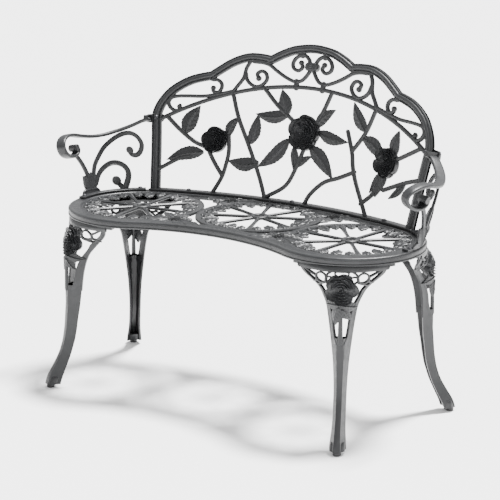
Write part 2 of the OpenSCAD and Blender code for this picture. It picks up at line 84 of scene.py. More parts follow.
def armPoint(s, h, w):
    # cone round the seat's end; s is the distance round it, h the height, w outwards
    r = arm["radius"] + arm["lean"] * h
    a = s / r
    return np.stack([lobe[0] + (r + w) * np.cos(a), lobe[1] + (r + w) * np.sin(a),
                     bench["seatHeight"] + h - 0.2 * w], -1)


def armPath(points):
    # degrees round the seat's end and height, turned into distances
    p = np.array(points, float)
    p[:, 0] = np.radians(p[:, 0]) * (arm["radius"] + arm["lean"] * p[:, 1])
    return p


leg = {
    "ridge": [[0, 265], [10, 264], [30, 258], [55, 242], [85, 225], [115, 215], [150, 209],
              [200, 204.5], [290, 203], [340, 200], [375, 192], [400, 181], [420, 172]],
    "half": [[0, 19.5], [20, 19], [45, 16], [72, 14.8], [102, 14.8], [133, 15], [165, 16.3],
             [197, 18.5], [229, 22], [262, 26], [294, 30.5], [326, 36], [358, 52.5], [372, 69.5],
             [386, 88], [403, 98.5], [420, 98.5]],
    "depth": [[0, 28], [33, 31], [60, 27], [95, 23.5], [130, 24.5], [166, 25], [202, 27.5],
              [238, 30], [274, 31], [309, 34], [343, 42], [358, 50], [372, 53], [386, 49],
              [397, 40], [404, 34], [420, 32]],
    "flat": [[0, 0.42], [200, 0.42], [260, 0.3], [330, 0.1], [420, 0.0]],    # share that is flat
    "power": [[0, 1.0], [250, 1.0], [340, 1.2], [400, 1.9], [420, 2.0]],
    "wall": 5.0, "foot": 252.0, "front": 26.5, "back": 136.5,
}


def lookup(table, z):
    t = np.asarray(table, float)
    return sum(np.interp(z + o, t[:, 0], t[:, 1]) for o in (-9, -3, 3, 9)) / 4    # softened corners


def legSurface(t, z):
    # distance of the leg's face from the middle of the seat's end
    x = np.clip(np.abs(t) / lookup(leg["half"], z), 0, 1)
    flat = lookup(leg["flat"], z)
    x = np.clip((x - flat) / (1 - flat), 0, 1) ** lookup(leg["power"], z) + 0.03 * x
    return lookup(leg["ridge"], z) - lookup(leg["depth"], z) * x


def legPoint(t, z, w):
    # a point of the face, moved w along its normal, which comes from neighbours e away
    e = 0.8
    y = legSurface(t, z)
    n = np.stack([legSurface(t - e, z) - legSurface(t + e, z), 2 * e + 0 * y,
                  legSurface(t, z - e) - legSurface(t, z + e)], -1)
    n /= np.linalg.norm(n, axis=-1, keepdims=True)
    return np.stack([t, y, z], -1) + n * np.asarray(w)[..., None]


# building blocks: closed grids of points
def smoothPath(points, step, closed=False):
    # curve through the points: a cubic between each pair, its slope set by their neighbours
    p = np.asarray(points, float)
    if closed:
        ext = np.vstack([p[-1:], p, p[:2]])
    else:
        ext = np.vstack([2 * p[:1] - p[1:2], p, 2 * p[-1:] - p[-2:-1]])
    t = np.linspace(0, 1, 24, endpoint=False)[None, :, None]
    a, b, c, d = (ext[i:len(ext) - 3 + i, None, :] for i in range(4))
    q = 0.5 * (2 * b + (c - a) * t + (2 * a - 5 * b + 4 * c - d) * t ** 2 + (3 * b - a - 3 * c + d) * t ** 3)
    q = q.reshape(-1, p.shape[1])
    q = np.vstack([q, q[:1] if closed else p[-1:]])
    s = np.concatenate([[0], np.cumsum(np.linalg.norm(np.diff(q[:, :2], axis=0), axis=1))])
    n = max(int(round(s[-1] / step)), 4)
    at = np.linspace(0, s[-1], n + 1)[:n if closed else n + 1]
    return np.stack([np.interp(at, s, q[:, k]) for k in range(q.shape[1])], 1)


def shell(rings, closed=False):
    # rings of points, each closed; capped with a centre point unless the rings close too
    m, k = rings.shape[:2]
    pts = rings.reshape(-1, 3)
    i, j = np.meshgrid(np.arange(m if closed else m - 1), np.arange(k), indexing="ij")
    nxt, turn = (i + 1) % m, (j + 1) % k
    quads = np.stack([i * k + j, i * k + turn, nxt * k + turn, nxt * k + j], -1).reshape(-1, 4)
    tris = np.zeros((0, 3), int)
    if not closed:
        pts = np.vstack([pts, rings[0].mean(0), rings[-1].mean(0)])
        j = np.arange(k)
        tris = np.vstack([np.stack([(j + 1) % k, j, np.full(k, m * k)], -1),
                          np.stack([(m - 1) * k + j, (m - 1) * k + (j + 1) % k, np.full(k, m * k + 1)], -1)])
    a, b, c, d = (pts[quads[:, n]] for n in range(4))
    volume = np.einsum("ij,ij->", a, np.cross(b, c)) + np.einsum("ij,ij->", a, np.cross(c, d))
    if len(tris):
        a, b, c = (pts[tris[:, n]] for n in range(3))
        volume += np.einsum("ij,ij->", a, np.cross(b, c))
    if volume < 0:
        quads, tris = quads[:, ::-1], tris[:, ::-1]
    return pts, quads, tris


def roundSection(thick, square=0.75, n=16, lift=0.0):
    # rounded oblong: cosine and sine raised to a power below one
    a = (np.arange(n) + 0.5) / n * 2 * np.pi
    c, s = np.cos(a), np.sin(a)
    across = np.sign(c) * np.abs(c) ** square
    return np.stack([across, lift + thick / 2 * np.sign(s) * np.abs(s) ** square], -1)


def profile(front, thick):
    # front: heights from edge to middle, mirrored; flat back with rounded corners
    f = np.array(front, float)
    right = np.vstack([f, f[-2::-1] * [-1, 1]])
    back = np.array([[1, -thick / 2 + 2], [0.85, -thick / 2], [-0.85, -thick / 2], [-1, -thick / 2 + 2]])
    return np.vstack([right, back])


def strand(points, width, surface, section, step=4.0, closed=False, ends=True):
    # a section swept along a path laid on a surface, with rounded ends
    q = smoothPath(points, step, closed)
    w = np.linspace(width[0], width[1], len(q)) if np.ndim(width) else np.full(len(q), float(width))
    if q.shape[1] > 2:
        w = w * q[:, 2]
    if closed:
        tan = np.roll(q[:, :2], -1, 0) - np.roll(q[:, :2], 1, 0)
    else:
        tan = np.gradient(q[:, :2], axis=0)
    tan /= np.linalg.norm(tan, axis=1, keepdims=True)
    pos, half, flat = q[:, :2], w / 2, np.ones(len(q))
    if not closed and ends:
        a = np.radians([78, 58, 38, 18])
        grow = np.sin(a)[:, None] * w[0] / 2
        shrink = np.sin(a[::-1])[:, None] * w[-1] / 2
        pos = np.vstack([pos[0] - tan[0] * grow, pos, pos[-1] + tan[-1] * shrink])
        tan = np.vstack([np.repeat(tan[:1], 4, 0), tan, np.repeat(tan[-1:], 4, 0)])
        half = np.concatenate([np.cos(a) * w[0] / 2, half, np.cos(a[::-1]) * w[-1] / 2])
        ease = np.sqrt(np.cos(a))
        flat = np.concatenate([ease, flat, ease[::-1]])
    side = np.stack([-tan[:, 1], tan[:, 0]], -1)
    p = pos[:, None, :] + side[:, None, :] * (section[None, :, 0] * half[:, None])[..., None]
    rings = surface(p[..., 0], p[..., 1], section[None, :, 1] * flat[:, None])
    return shell(rings, closed)


# leaf blades: share of the length and half width at it, teeth on the rim, relief in millimetres
leafForm = {"outline": [[0, 0.12], [0.12, 0.34], [0.25, 0.46], [0.4, 0.5], [0.6, 0.43], [0.8, 0.26],
                        [0.93, 0.1], [1, 0.015]],
            "teeth": 9, "toothDepth": 0.09, "veins": 6, "crown": 3.4, "rib": 2.2, "vein": 1.3}
lobedForm = {"outline": [[0, 0.2], [0.12, 0.4], [0.3, 0.5], [0.55, 0.5], [0.75, 0.42], [0.9, 0.26],
                         [0.97, 0.12], [1, 0.02]],
             "teeth": 3, "toothDepth": 0.34, "veins": 3, "crown": 4.0, "rib": 1.6, "vein": 1.0}


def leafBlade(a, b, width, surface, thick, bend=0.0, lift=0.0, form=leafForm):
    # blade with a toothed rim, a raised middle rib and slanting side veins
    a, b = np.array(a, float), np.array(b, float)
    s = np.linspace(0, 1, 40)
    o = np.array(form["outline"])
    saw = (s * form["teeth"]) % 1
    saw = saw if form["teeth"] > 5 else 0.5 - 0.5 * np.cos(2 * np.pi * saw)
    half = np.interp(s, o[:, 0], o[:, 1]) * width * (1 - form["toothDepth"] * saw * (s > 0.1) * (s < 0.95))
    t = np.array([-1, -0.9, -0.72, -0.54, -0.36, -0.2, -0.08, 0, 0.08, 0.2, 0.36, 0.54, 0.72, 0.9, 1])
    st, tt = s[:, None], t[None, :]
    slim = np.clip(half[:, None] / (0.25 * width), 0, 1)
    veins = np.cos(2 * np.pi * (st * form["veins"] - np.abs(tt) * 1.3)) * np.abs(tt) * (1.15 - np.abs(tt))
    front = thick * 0.3 + slim * (form["crown"] * (1 - tt ** 2) * 0.5
                                  + form["rib"] * np.exp(-(tt / 0.09) ** 2) + form["vein"] * veins)
    front = front + lift + 2.2 * np.sin(np.pi * st) * 0.4
    back = np.full((len(s), 5), -thick * 0.4 + lift)
    tb = np.array([0.8, 0.4, 0, -0.4, -0.8])
    along = (b - a)[None, :] * s[:, None]
    n = np.array([-(b - a)[1], (b - a)[0]]) / np.linalg.norm(b - a)
    along = along + n * (bend * np.linalg.norm(b - a) * np.sin(np.pi * s))[:, None]
    tAll = np.concatenate([t, tb])
    p = a + along[:, None, :] + n[None, None, :] * (tAll[None, :] * half[:, None])[..., None]
    return shell(surface(p[..., 0], p[..., 1], np.hstack([front, back])))


roseForm = {  # rings of petals from outside in: reach, petals, turn, height of the lip
    "petals": [[1.0, 5, 0.2, 0.62], [0.82, 5, 0.9, 0.70], [0.63, 5, 0.35, 0.78], [0.45, 4, 1.0, 0.86],
               [0.29, 3, 0.2, 0.93], [0.14, 2, 0.5, 1.0]],
    "lip": 0.16, "dish": 2.2, "scallop": 0.13,
}


def roseHead(centre, radius, surface, height, thick=6.0, turn=0.0):
    # petal rings stacked inwards; each falls away inside its lip and is cut back between petals
    r = np.linspace(0.015, 1, 60)[:, None]
    a = np.linspace(0, 2 * np.pi, 120, endpoint=False)[None, :]
    h = 0.05 + 0 * r * a
    for reach, count, start, top in roseForm["petals"]:
        wave = np.abs(np.cos(count * (a - start - turn) / 2)) ** 0.45
        edge = reach * (1 - roseForm["scallop"] + roseForm["scallop"] * wave) + 0.02 * np.sin(a + start)
        inside = np.clip((edge - r) / 0.035 + 0.5, 0, 1)
        inside = inside * inside * (3 - 2 * inside)
        gap = np.clip(edge - r, 0, 1)
        lip = roseForm["lip"] * np.exp(-(gap / 0.04) ** 2)
        petal = top - roseForm["dish"] * gap + lip - 0.10 * (1 - wave)
        h = h * (1 - inside) + petal * inside
    rim = radius * (1 - roseForm["scallop"] * 0.8 * (1 - np.abs(np.cos(5 * (a - 0.2 - turn) / 2)) ** 0.45))
    x, y = centre[0] + r * rim * np.cos(a), centre[1] + r * rim * np.sin(a)
    front = surface(x, y, height * h)
    rb = np.array([0.97, 0.5, 0.02])[:, None]
    back = surface(centre[0] + rb * rim * np.cos(a), centre[1] + rb * rim * np.sin(a), -thick + 0 * rb * a)
    return shell(np.concatenate([front, back]))


def dome(centre, radius, surface, height, thick, n=28):
    # round boss with a domed face
    r = np.array([0.02, 0.3, 0.55, 0.75, 0.9, 0.98, 1.0, 1.0, 0.9, 0.02])[:, None]
    w = np.array([1, 0.96, 0.85, 0.66, 0.4, 0.15, 0, 0, 0, 0])[:, None] * height
    w = w + np.array([0, 0, 0, 0, 0, 0, 0, -thick + 1, -thick, -thick])[:, None]
    a = np.linspace(0, 2 * np.pi, n, endpoint=False)[None, :]
    return shell(surface(centre[0] + r * radius * np.cos(a), centre[1] + r * radius * np.sin(a), w + 0 * a))


def hoop(centre, rx, ry, width, surface, section, turn=0.0, n=48):
    # a section swept round an ellipse: half-widths times cosine and sine, turned about the centre
    a = np.linspace(0, 2 * np.pi, n, endpoint=False)
    x, y = rx * np.cos(a), ry * np.sin(a)
    c, s = math.cos(turn), math.sin(turn)
    p = np.stack([centre[0] + c * x - s * y, centre[1] + s * x + c * y], -1)
    return strand(p, width, surface, section, step=2 * np.pi * max(rx, ry) / n, closed=True)


def mirrored(parts):
    # x changes sign, and each face is read backwards so that it still points out
    flip = np.array([-1.0, 1, 1])
    return [(p * flip, q[:, ::-1], t[:, ::-1]) for p, q, t in parts]


def makePiece(name, parts, replaced, body="bench"):
    # joins closed shells into one mesh, in metres
    offsets = np.cumsum([0] + [len(p[0]) for p in parts[:-1]])
    pts = np.vstack([p[0] for p in parts]) * 0.001
    quads = np.vstack([p[1] + o for p, o in zip(parts, offsets)])
    tris = np.vstack([p[2] + o for p, o in zip(parts, offsets)])
    mesh = bpy.data.meshes.new(name)
    mesh.vertices.add(len(pts))
    mesh.vertices.foreach_set("co", pts.astype(np.float32).ravel())
    loops = np.concatenate([quads.ravel(), tris.ravel()])
    mesh.loops.add(len(loops))
    mesh.loops.foreach_set("vertex_index", loops.astype(np.int32))
    starts = np.concatenate([np.arange(len(quads)) * 4, len(quads) * 4 + np.arange(len(tris)) * 3])
    mesh.polygons.add(len(starts))
    mesh.polygons.foreach_set("loop_start", starts.astype(np.int32))
    mesh.update(calc_edges=True)
    mesh.validate()
    mesh.polygons.foreach_set("use_smooth", np.ones(len(mesh.polygons), bool))
    mesh.set_sharp_from_angle(angle=math.radians(42))
    piece = bpy.data.objects.new(name, mesh)
    bpy.context.scene.collection.objects.link(piece)
    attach(piece, body)
    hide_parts(replaced)
    print(name, "has", len(quads) * 2 + len(tris), "triangles in", len(parts), "shells")


# back: rail, uprights, arch, scrolls, rose branches
back = {
    "frameThick": 15.0, "workThick": 9.0, "rail": 22.0, "upright": 24.5, "scroll": 9.5, "stem": 11.2,
    "top": [[-119, 350], [-85, 368], [-50, 380.5], [0, 386.5], [50, 380.5], [85, 368], [119, 350]],
    "shoulder": [[119, 350], [145, 353], [175, 353], [200, 346.5], [225, 335], [250, 318], [274, 300]],
    "side": [[274, 300], [300, 294], [325, 285.5], [350, 271], [371, 253], [386, 231], [394, 212], [397, 190],
             [391, 142], [385, 94], [379.5, 46], [374, 1]],
    "archTop": 289.0, "archCurve": 760.0,
    "scrolls": [
        [[212, 264], [245, 255], [285, 247], [330, 245], [355, 243], [368, 238], [373, 226], [366, 213],
         [352, 206], [343, 211], [344, 220]],
        [[276, 292], [268, 290], [256, 290], [245, 282], [243, 270], [250, 259], [262, 260], [266, 268]],
        [[212, 262], [200, 280], [188, 300], [184, 325], [176, 342]],
        [[184, 312], [178, 296], [166, 285], [150, 280], [134, 286], [124, 300], [128, 314], [140, 320],
         [152, 313], [147, 301]],
        [[166, 342], [140, 341], [120, 336], [100, 324], [75, 311], [50, 302], [34, 302], [20, 310],
         [6, 330], [5, 338]],
        [[6, 343], [14, 360], [30, 369], [48, 362], [57, 348], [54, 335], [40, 329], [29, 338], [34, 349]]],
    "scrollTips": [[147, 301, 6.2], [265, 269, 5.6], [34, 349, 5.8], [345, 217, 5.0]],
    "webs": [[[38, 286], [40, 302]], [[33, 367], [33, 379]]],
    "stems": [
        [[-368, 188], [-335, 159], [-295, 131], [-262, 118]], [[-374, 54], [-325, 85], [-300, 92]],
        [[-249, 105], [-232, 80], [-210, 53]], [[-204, 150], [-198, 110], [-201, 75], [-208, 42], [-228, -1]],
        [[-208, 254], [-185, 198], [-147, 132], [-105, 57], [-78, -1]], [[-124, 276], [-82, 238], [-30, 203]],
        [[12, 140], [-4, 88], [-27, 41], [-80, 6]], [[34, -1], [50, 31], [85, 64], [127, 81], [172, 102]],
        [[34, 198], [53, 239], [69, 284]], [[134, 196], [156, 147], [166, 111], [184, 72], [229, -1]],
        [[155, 150], [188, 199], [209, 256]], [[296, 150], [366, 188]], [[384, 118], [335, 102], [270, 74]],
        [[262, 108], [242, 63], [206, 30]]],
    "leaves": [  # stalk, tip, width, sideways bend
        [-320, 150, -291, 222, 40, 0.05], [-208, 148, -182, 202, 26, 0.1], [-265, 105, -357, 79, 34, -0.06],
        [-112, 90, -197, 88, 35, 0.08], [-142, 135, -132, 212, 32, -0.05], [-46, 218, -140, 212, 32, 0.08],
        [-54, 212, -76, 279, 38, -0.05], [-36, 156, -114, 79, 36, 0.07], [-18, 140, -9, 80, 22, 0.05],
        [-2, 92, 39, 124, 18, 0.06], [30, 146, 107, 76, 38, 0.05], [48, 184, 140, 170, 30, -0.06],
        [36, 196, 87, 244, 30, 0.06], [190, 203, 140, 269, 32, 0.06], [250, 156, 176, 189, 36, -0.06],
        [288, 158, 292, 220, 32, 0.06], [336, 98, 289, 56, 18, 0.05], [256, 114, 227, 60, 22, 0.04],
        [272, 110, 246, 53, 26, -0.05]],
    "roses": [[-240, 137, 35, 0.3], [5, 177, 46, 0.0], [267, 139, 38, 0.9]], "roseHeight": 14.0,
}
railFace = profile([[1, 1.0], [0.97, 3.4], [0.86, 4.4], [0.7, 4.4], [0.62, 3.2], [0.54, 4.6], [0.42, 6.9],
                    [0.2, 7.9], [0, 8.2]], back["frameThick"])
workFace = profile([[1, 0.0], [0.95, 2.2], [0.75, 3.6], [0.4, 4.4], [0, 4.8]], back["workThick"])
stemFace = roundSection(back["workThick"] + 1, 0.9, 14, 0.5)

archU = np.linspace(-386, 386, 21)
# circle: the root of radius squared less width squared
archDrop = np.sqrt(back["archCurve"] ** 2 - archU ** 2)
arch = np.stack([archU, back["archTop"] - back["archCurve"] + archDrop], -1)
half = [strand(back["shoulder"], back["rail"], backPoint, railFace, 4),
        strand(back["side"], (back["rail"] + 1, back["upright"]), backPoint, railFace, 5)]
half += [strand(p, back["scroll"], backPoint, workFace, 2.5) for p in back["scrolls"]]
half += [dome(p[:2], p[2] + 1, backPoint, 7.0, 4.5, 20) for p in back["scrollTips"]]
half += [strand(p, 14, backPoint, workFace, 3) for p in back["webs"]]
parts = half + mirrored(half)
parts += [strand(back["top"], back["rail"], backPoint, railFace, 4),
          strand(arch, back["scroll"] + 1.5, backPoint, workFace, 6)]
parts += [strand(p, back["stem"], backPoint, stemFace, 4) for p in back["stems"]]
parts += [leafBlade(p[:2], p[2:4], p[4] * 1.12, backPoint, back["workThick"] - 3, p[5])
          for p in back["leaves"]]
parts += [roseHead(r[:2], r[2], backPoint, back["roseHeight"], 5, r[3]) for r in back["roses"]]
knot = roundSection(22, 0.35, 20)
parts += [strand([[-8, 341], [-3, 341], [3, 341], [8, 341]], 22, backPoint, knot, 2),
          dome([0, 341], 8, backPoint, 13, 2)]
fx = np.linspace(-bench["flangeHalf"], bench["flangeHalf"], 160)[:, None]
fy = bench["backY"] - bench["backCurve"] + np.sqrt(bench["backCurve"] ** 2 - fx ** 2)
fs = np.array([[-12, 0.1], [-12, 3.6], [-10.5, 5.1], [10.5, 5.1], [12, 3.6], [12, 0.1]])
parts.append(shell(seatPoint(fx + 0 * fs[:, 0], fy + fs[:, 0], fs[None, :, 1] + 0 * fx)))
makePiece("backrest", parts, "back_casting")


# seat: rolled rim, three medallions, leaf fillers
seat = {
    "ring": 156.0, "ringWide": 20.0, "spokes": 8, "grille": -2.0, "grilleThick": 7.0,
    "hubs": [[303, -43.45, -5.5], [0, 30.75, 22.5], [-303, -43.45, 5.5]],     # centre, turn in degrees
    "wreath": [[-0.25, 27, 24], [0.0, 37, 28], [0.25, 27, 24]],     # turn, length, width of each leaf
    "filler": [[8, 84], [30, 74], [60, 46], [90, 44], [120, 46], [150, 74], [172, 84], [215, 44],
               [270, 58], [325, 44]],     # degrees and reach of the leaves between the medallions
    "bossRing": 151, "bossRadius": 9,     # bosses that the legs' bolts enter
}


def seatOutline(step=5.0):
    # round ends, the hollow front that touches both, and the long rear curve
    r, drop = bench["lobeRadius"], bench["lobeY"] - bench["frontMidY"]
    hollow = (lobe[0] ** 2 + drop ** 2 - r ** 2) / (2 * (r - drop))
    fc = np.array([0, bench["frontMidY"] - hollow])
    rc = np.array([0, bench["backY"] - bench["backCurve"]])
    rear = np.linalg.norm(lobe - rc) + r
    toLobe, fromRear = lobe - fc, lobe - rc
    a0 = math.atan2(toLobe[1], toLobe[0])
    a1 = math.atan2(fromRear[1], fromRear[0])
    front = np.linspace(math.pi / 2, a0, 60)[:-1]
    end = np.linspace(a0 - math.pi, a1, 160)
    rearArc = np.linspace(a1, math.pi / 2, 60)[1:]
    p = np.vstack([fc + hollow * np.stack([np.cos(front), np.sin(front)], -1),
                   lobe + r * np.stack([np.cos(end), np.sin(end)], -1),
                   rc + rear * np.stack([np.cos(rearArc), np.sin(rearArc)], -1)])
    p = np.vstack([p, p[-2:0:-1] * [-1, 1]])
    return smoothPath(p, step, True)


outline = seatOutline()
tangent = np.roll(outline, -1, 0) - np.roll(outline, 1, 0)
tangent /= np.linalg.norm(tangent, axis=1, keepdims=True)
inward = np.stack([-tangent[:, 1], tangent[:, 0]], -1)
# the rim's section: distance in from the outline, height over the seat
rim = np.array([[1.6, -19], [0.2, -18], [0, -15.6], [2.2, -14.2], [2.2, -8.0], [0, -6.6], [0.1, -3.6],
                [1.4, -1.4], [3.8, -0.2], [6.8, 0], [9, -0.5], [11, -1.5], [14, -1.5], [22, -1.3], [26, -0.4],
                [29, 0], [31.8, -0.7], [33.6, -2.6], [34, -6], [33.4, -9], [30, -9.6], [8, -9.6], [7, -12],
                [6.6, -18.4], [5.8, -19]])
rimPts = outline[:, None, :] + inward[:, None, :] * rim[None, :, :1]
parts = [shell(seatPoint(rimPts[..., 0], rimPts[..., 1], rim[None, :, 1] + 0 * rimPts[..., 0]), True)]
low = seat["grille"] - seat["grilleThick"] / 2      # middle level of the pierced work


def seatWork(x, y, w):
    # pierced work lies a little under the rim
    return seatPoint(x, y, w + low)


ringFace = profile([[1, 0.5], [0.96, 2.2], [0.86, 3.4], [0.7, 3.6], [0.6, 2.6], [0.3, 2.9], [0, 3.1]],
                   seat["grilleThick"])
spokeFace = profile([[1, 0.3], [0.9, 1.6], [0.5, 2.4], [0.22, 3.4], [0, 3.9]], seat["grilleThick"])
inner = seat["ring"] - seat["ringWide"]
for hx, hy, turn in seat["hubs"]:
    parts.append(hoop([hx, hy], inner + 10, inner + 10, seat["ringWide"], seatWork, ringFace, 0, 120))
    parts.append(hoop([hx, hy], 17.2, 17.2, 12.5, seatWork, roundSection(9, 0.8, 16, 0.8), 0, 40))
    for k in range(seat["spokes"]):
        a = math.radians(turn) + 2 * math.pi * k / seat["spokes"]
        d = np.array([math.cos(a), math.sin(a)])
        c = np.array([hx, hy])
        r = np.array([20, 45, 70, 95, 118, inner + 3])
        w = np.array([10, 8, 8, 10, 13.5, 19])
        spoke = np.hstack([c + d * r[:, None], w[:, None]])
        parts.append(strand(spoke, 1.0, seatWork, spokeFace, 6, ends=False))
        a += math.pi / seat["spokes"]
        for off, long, wide in seat["wreath"]:
            e = np.array([math.cos(a + off), math.sin(a + off)])
            tip = np.array([math.cos(a + off * 0.9), math.sin(a + off * 0.9)])
            root, point = c + e * (inner + 5), c + tip * (inner - long)
            parts.append(leafBlade(root, point, wide, seatWork, 5.0, 0, 0.6, lobedForm))
            parts.append(dome(c + e * (inner + 3), 6.0, seatWork, 5.5, 3.0, 16))
for hx in (-1, 1):
    for cx, cy, sign in ((151.5, 122.75, 1), (149.5, -113.75, -1)):
        c = np.array([hx * cx, cy])
        parts.append(roseHead(c, 24, seatWork, 6.5, 3, 0.4 * hx))
        for a, long in seat["filler"]:
            e = np.array([math.cos(math.radians(a)), math.sin(math.radians(a)) * sign])
            parts.append(leafBlade(c + e * 14, c + e * long, 28, seatWork, 5.0, 0.04, 0.2, lobedForm))
for s in (-1, 1):
    for legTurn in (leg["front"], leg["back"]):
        for b in (-25, 25):
            a = math.radians(s * (legTurn + b) - 90)
            c = np.array([s * lobe[0], lobe[1]]) + seat["bossRing"] * np.array([math.cos(a), math.sin(a)])
            parts.append(dome(c, seat["bossRadius"], lambda x, y, w: seatPoint(x, y, w - 9.5), 0.5, 9))
makePiece("seat", parts, "seat_casting")
print("seat outline covers", outline.min(0), "to", outline.max(0))


# arms: rolled rest, scroll plate, foot strip, lug behind the upright
arm.update({
    "rest": [[59, 175.5], [54, 171], [48, 162], [42, 154.5], [35, 148], [26, 142], [16, 141], [5, 147],
             [-4, 154], [-12.5, 155], [-19, 148], [-22, 135], [-20, 119], [-14.5, 107.5], [-8, 103.5],
             [-3, 108], [-1.5, 118], [-4, 126]],
    "big": [[11, 36], [14, 67], [19, 90], [25, 112], [34, 132], [41, 141], [46.5, 140], [51, 129],
            [53.5, 112], [52.5, 95], [49.5, 86], [46, 88], [44, 98]],
    "small": [[13, 24], [17, 46], [22, 60], [28, 69], [34, 69], [39.5, 60], [42.5, 44], [42, 26], [39, 3]],
    "curl": [[38, 3], [35, 14], [32, 24]], "neck": [[-3, 103], [1, 84], [4, 64], [7, 36]],
    "fan": [[1, 34, 22, 26], [3, 30, 30, 26], [9, 30, 40, 30], [13, 24, 30, 26]],
})
plate = profile([[1, -0.5], [0.96, 1.8], [0.82, 3.2], [0.62, 3.4], [0.5, 2.6], [0.25, 2.8], [0, 3.0]],
                arm["plateThick"])
both = np.vstack([plate[:13], plate[:13][::-1] * [1, -1]])
restFace = np.stack([roundSection(2, 0.7, 24)[:, 0], roundSection(arm["restWide"], 0.45, 24)[:, 1]], -1)
parts = [strand(armPath(arm["rest"]), arm["restThick"], armPoint, restFace, 3.0),
         dome(armPath([[-3.7, 122]])[0], 9, armPoint, 12, 12, 24),
         dome(armPath([[-3.7, 122]])[0], 9, lambda s, h, w: armPoint(s, h, -w), 12, 12, 24),
         strand(armPath(arm["big"]), (11, 13), armPoint, both, 3.0),
         dome(armPath([[44.4, 99]])[0], 9.5, armPoint, 5.5, 5.5, 24),
         strand(armPath(arm["small"]), (12, 16), armPoint, both, 3.0),
         strand(armPath(arm["curl"]), 14, armPoint, both, 3.0),
         dome(armPath([[32, 25]])[0], 12, armPoint, 5.5, 5.5, 24),
         strand(armPath(arm["neck"]), (11, 12), armPoint, both, 3.0)]
for a, h, rise, wide in arm["fan"]:
    foot = armPath([[7, 2]])[0]
    tip = armPath([[a, h + rise * 0.5]])[0]
    parts.append(leafBlade(foot, tip + (tip - foot) * 0.1, wide, armPoint, 7.0, 0, 0))
parts.append(strand(armPath([[0, 3], [5, 4], [12, 3]]), 26, armPoint, both, 3.0))
a = np.radians(np.linspace(-10, 57, 60))[:, None]
strip = np.array([[157, 0.1], [157, 3.9], [158.2, 5.1], [172.8, 5.1], [174, 3.9], [174, 0.1]])
stripX, stripY = lobe[0] + strip[:, 0] * np.cos(a), lobe[1] + strip[:, 0] * np.sin(a)
parts.append(shell(seatPoint(stripX, stripY, strip[:, 1] + 0 * a)))
lug = np.array([[-1, -14.2], [-0.9, -14.5], [0.9, -14.5], [1, -14.2],
                [1, -8], [0.9, -7.7], [-0.9, -7.7], [-1, -8]])
block = np.array([[-1, -13.5], [-0.8, -14.5], [0.8, -14.5], [1, -13.5],
                  [1, 20], [0.7, 23], [-0.7, 23], [-1, 20]])
parts.append(strand([[390, 186], [400, 185], [417, 184]], 22, backPoint, lug, 4))
parts.append(strand([[413, 183], [416, 183], [420, 183], [424, 183]], 15, backPoint, block, 3, ends=False))
makePiece("arm_scroll_right", parts, "arm_right")
makePiece("arm_scroll_left", mirrored(parts), "arm_left")


# legs: channel shaft, open-work knee with rose, foot
knee = {
    "gapSide": [[245, 9], [256, 14], [275, 17], [294, 19], [310, 22], [326, 27], [345, 38], [358, 44],
                [372, 60], [386, 77], [397, 86], [406, 90]],     # height, half width of the open work
    "rose": [0, 364, 34], "roseHeight": 12.0,
    "rings": [[48, 386, 12, 12, 5.0], [28, 384, 9.5, 7, 4.5], [0, 398.5, 16, 6.5, 4.5]],
    "bars": [[[57, 377], [66, 371]], [[60, 388], [72, 394], [84, 401]], [[48, 398], [49, 406]],
             [[36, 384], [34, 395], [22, 404]], [[38, 376], [48, 370], [55, 366]], [[20, 392], [12, 394]]],
    "leaves": [[-2, 332, -34, 322, 26], [2, 332, 35, 326, 26],
               [-3, 324, -20, 296, 18], [3, 328, 11, 286, 22]],     # stalk, tip, width
    "holeRadius": 4.4,     # hole in the foot for the glide's screw
}


def shaftRings(z, wall):
    # outer face from wing to wing, then back along the inside of the wall
    f = np.array([-1, -0.985, -0.93, -0.82, -0.7, -0.58, -0.48, -0.42, -0.3, -0.15, 0])
    f = np.concatenate([f, -f[-2::-1]])[None, :]
    s = lookup(leg["half"], z)[:, None]
    zz = z[:, None] + 0 * f
    outer = np.stack([f * s, legSurface(f * s, zz), zz], -1)
    g = f[:, ::-1]
    t = g * (s - wall)
    wing = lookup(leg["ridge"], z)[:, None] - lookup(leg["depth"], z)[:, None] - 1.0
    under = legSurface(np.clip(t * (s + wall * 0.6) / s, -s, s), zz) - wall
    y = np.minimum(under, legSurface(0 * t, zz) - wall)
    edge = np.abs(g) > 0.95
    y = np.where(edge, wing, np.maximum(y, wing))
    return np.concatenate([outer, np.stack([t, y, zz], -1)], 1)


z = np.concatenate([[9.4, 10.2, 12], np.linspace(15, 248, 74), [252, 255]])
parts = [shell(shaftRings(z, leg["wall"]))]
# side walls of the knee: bands of the surface between the open work and the wing's edge
z = np.linspace(240, 412, 60)
x = np.linspace(0, 1, 7)[None, :]
tIn = np.interp(z, *np.array(knee["gapSide"]).T)[:, None]
tOut = lookup(leg["half"], z)[:, None]
t = tIn + (tOut - tIn) * x
zz = z[:, None] + 0 * t
lift = 1.4 * np.exp(-((x - 0.12) / 0.16) ** 2)
outer = legPoint(t, zz, lift + 0 * t)
inn = legPoint(t[:, ::-1], zz, np.full(t.shape, -leg["wall"]))
side = [shell(np.concatenate([outer, inn], 1))]
barFace = roundSection(7, 0.8, 14, -2)
side += [hoop(r[:2], r[2], r[3], r[4], legPoint, barFace, 0, 40) for r in knee["rings"][:2]]
side += [strand(b, 5.0, legPoint, barFace, 2.5) for b in knee["bars"]]
parts += side + mirrored(side)
r = knee["rings"][2]
parts.append(hoop(r[:2], r[2], r[3], r[4], legPoint, barFace, 0, 40))
top = np.linspace(-97, 97, 40)
topFace = profile([[1, -1], [0.9, 1], [0.5, 2], [0, 2.4]], 9)
parts.append(strand(np.stack([top, 407 + 0 * top], -1), 13, legPoint, topFace, 5))
stemUp = roundSection(9, 0.8, 14, -1)
parts.append(strand([[0, 246], [0, 270], [0, 300], [0, 334]], (12, 8), legPoint, stemUp, 4))
